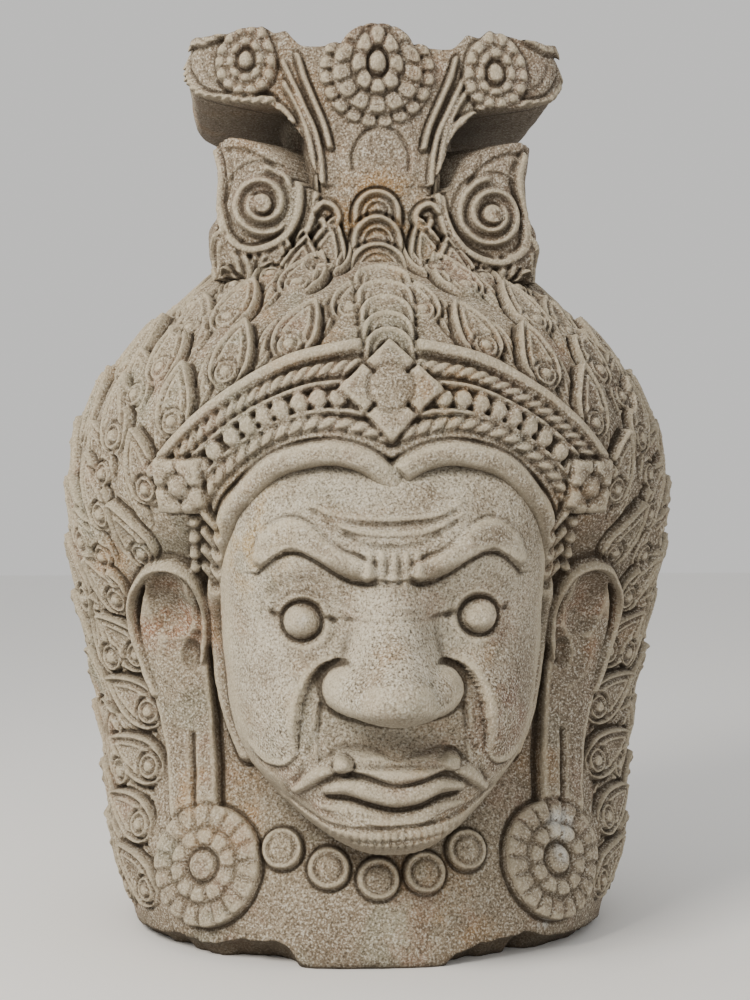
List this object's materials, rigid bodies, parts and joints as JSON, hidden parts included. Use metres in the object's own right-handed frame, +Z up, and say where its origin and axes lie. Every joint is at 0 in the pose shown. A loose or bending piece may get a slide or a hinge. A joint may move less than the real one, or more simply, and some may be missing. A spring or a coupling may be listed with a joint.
{
  "type": "asura head",
  "caption": "Carved sandstone head of an asura, with a heavy face, diadem, leafy hair, long ears with rosettes, disc necklace and tall crown, cut flat below to stand on its own.",
  "frame": {"origin": "middle of the flat underside, below the plane of the ears", "axes": "+Z up, the face looks along -Y, +X to the right of someone who faces it"},
  "size_m": [0.6926, 0.6264, 0.9691],
  "materials": {
    "sandstone": "weathered, pitted, with pale lichen and ochre patches"
  },
  "bodies": {
    "root": {"asura_head": "sandstone"}
  },
  "joints": []
}
